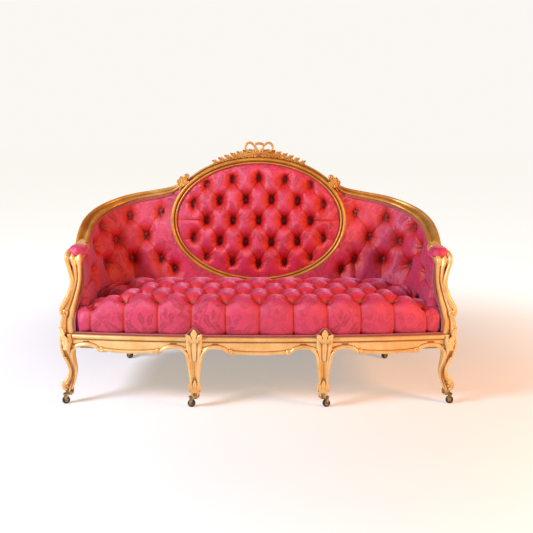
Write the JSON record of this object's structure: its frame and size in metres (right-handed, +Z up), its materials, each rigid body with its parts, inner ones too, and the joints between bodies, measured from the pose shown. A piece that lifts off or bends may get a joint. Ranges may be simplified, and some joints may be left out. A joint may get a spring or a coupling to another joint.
{
  "type": "tufted sofa",
  "caption": "Gilt carved settee with an oval medallion back, curved wings, buttoned crimson damask upholstery and swivelling casters.",
  "frame": {"origin": "on the floor under the middle of the settee", "axes": "+X to the right of someone facing the front, along the seat; +Y to the back; +Z up"},
  "size_m": [1.542, 0.6323, 0.9939],
  "materials": {
    "gilt_wood": "water gilding, worn to red bole on the edges",
    "silk_damask": "crimson silk damask",
    "button_silk": "silk-covered buttons",
    "back_cloth": "plain crimson cloth",
    "gimp_braid": "woven double-cord braid",
    "webbing": "jute webbing",
    "hessian": "hessian cloth",
    "spring_wire": "coppered spring wire",
    "bare_beech": "bare beech",
    "aged_brass": "aged brass",
    "black_wheel": "black composition"
  },
  "bodies": {
    "frame": {"arm_pad_left": "silk_damask", "arm_pad_right": "silk_damask", "arm_rest_left": "gilt_wood", "arm_rest_right": "gilt_wood", "arm_support_left": "gilt_wood", "arm_support_right": "gilt_wood", "back_posts": "bare_beech", "caster_cups": "aged_brass", "centre_leg_left": "gilt_wood", "centre_leg_right": "gilt_wood", "corner_blocks": "bare_beech", "crest_carving": "gilt_wood", "dust_cover": "hessian", "front_leg_left": "gilt_wood", "front_leg_right": "gilt_wood", "front_rail_centre": "gilt_wood", "front_rail_left": "gilt_wood", "front_rail_right": "gilt_wood", "gimp_arms": "gimp_braid", "gimp_front": "gimp_braid", "medallion_back": "back_cloth", "medallion_buttons": "button_silk", "medallion_frame": "gilt_wood", "medallion_pad": "silk_damask", "rear_leg_left": "gilt_wood", "rear_leg_right": "gilt_wood", "rear_rail": "gilt_wood", "seat_buttons": "button_silk", "seat_pad": "silk_damask", "seat_springs": "spring_wire", "seat_webbing": "webbing", "shoulder_leaves": "gilt_wood", "side_rail_left": "gilt_wood", "side_rail_right": "gilt_wood", "spring_hessian": "hessian", "wing_back_left": "back_cloth", "wing_back_right": "back_cloth", "wing_buttons": "button_silk", "wing_pad_left": "silk_damask", "wing_pad_right": "silk_damask", "wing_rail_left": "gilt_wood", "wing_rail_right": "gilt_wood"},
    "fork_front_left": {"caster_fork_front_left": "aged_brass", "caster_axle_front_left": "aged_brass"},
    "wheel_front_left": {"caster_wheel_front_left": "black_wheel"},
    "fork_front_right": {"caster_fork_front_right": "aged_brass", "caster_axle_front_right": "aged_brass"},
    "wheel_front_right": {"caster_wheel_front_right": "black_wheel"},
    "fork_centre_left": {"caster_fork_centre_left": "aged_brass", "caster_axle_centre_left": "aged_brass"},
    "wheel_centre_left": {"caster_wheel_centre_left": "black_wheel"},
    "fork_centre_right": {"caster_fork_centre_right": "aged_brass", "caster_axle_centre_right": "aged_brass"},
    "wheel_centre_right": {"caster_wheel_centre_right": "black_wheel"},
    "fork_rear_left": {"caster_fork_rear_left": "aged_brass", "caster_axle_rear_left": "aged_brass"},
    "wheel_rear_left": {"caster_wheel_rear_left": "black_wheel"},
    "fork_rear_right": {"caster_fork_rear_right": "aged_brass", "caster_axle_rear_right": "aged_brass"},
    "wheel_rear_right": {"caster_wheel_rear_right": "black_wheel"}
  },
  "joints": [
    {"name": "swivel_front_left", "type": "hinge", "parent": "frame", "child": "fork_front_left", "pos_m": [-0.74, -0.2462, 0.042], "axis": [0, 0, 1], "continuous": true},
    {"name": "roll_front_left", "type": "hinge", "parent": "fork_front_left", "child": "wheel_front_left", "pos_m": [-0.75409, -0.25133, 0.015], "axis": [0.342, -0.9397, 0], "continuous": true},
    {"name": "swivel_front_right", "type": "hinge", "parent": "frame", "child": "fork_front_right", "pos_m": [0.74, -0.2462, 0.042], "axis": [0, 0, 1], "continuous": true},
    {"name": "roll_front_right", "type": "hinge", "parent": "fork_front_right", "child": "wheel_front_right", "pos_m": [0.75409, -0.25133, 0.015], "axis": [0.342, 0.9397, 0], "continuous": true},
    {"name": "swivel_centre_left", "type": "hinge", "parent": "frame", "child": "fork_centre_left", "pos_m": [-0.247, -0.28887, 0.042], "axis": [0, 0, 1], "continuous": true},
    {"name": "roll_centre_left", "type": "hinge", "parent": "fork_centre_left", "child": "wheel_centre_left", "pos_m": [-0.26177, -0.28627, 0.015], "axis": [-0.1736, -0.9848, 0], "continuous": true},
    {"name": "swivel_centre_right", "type": "hinge", "parent": "frame", "child": "fork_centre_right", "pos_m": [0.247, -0.28887, 0.042], "axis": [0, 0, 1], "continuous": true},
    {"name": "roll_centre_right", "type": "hinge", "parent": "fork_centre_right", "child": "wheel_centre_right", "pos_m": [0.26177, -0.28627, 0.015], "axis": [-0.1736, 0.9848, 0], "continuous": true},
    {"name": "swivel_rear_left", "type": "hinge", "parent": "frame", "child": "fork_rear_left", "pos_m": [-0.616, 0.2998, 0.042], "axis": [0, 0, 1], "continuous": true},
    {"name": "roll_rear_left", "type": "hinge", "parent": "fork_rear_left", "child": "wheel_rear_left", "pos_m": [-0.60151, 0.29592, 0.015], "axis": [0.2588, 0.9659, 0], "continuous": true},
    {"name": "swivel_rear_right", "type": "hinge", "parent": "frame", "child": "fork_rear_right", "pos_m": [0.616, 0.2998, 0.042], "axis": [0, 0, 1], "continuous": true},
    {"name": "roll_rear_right", "type": "hinge", "parent": "fork_rear_right", "child": "wheel_rear_right", "pos_m": [0.60151, 0.29592, 0.015], "axis": [0.2588, -0.9659, 0], "continuous": true}
  ]
}
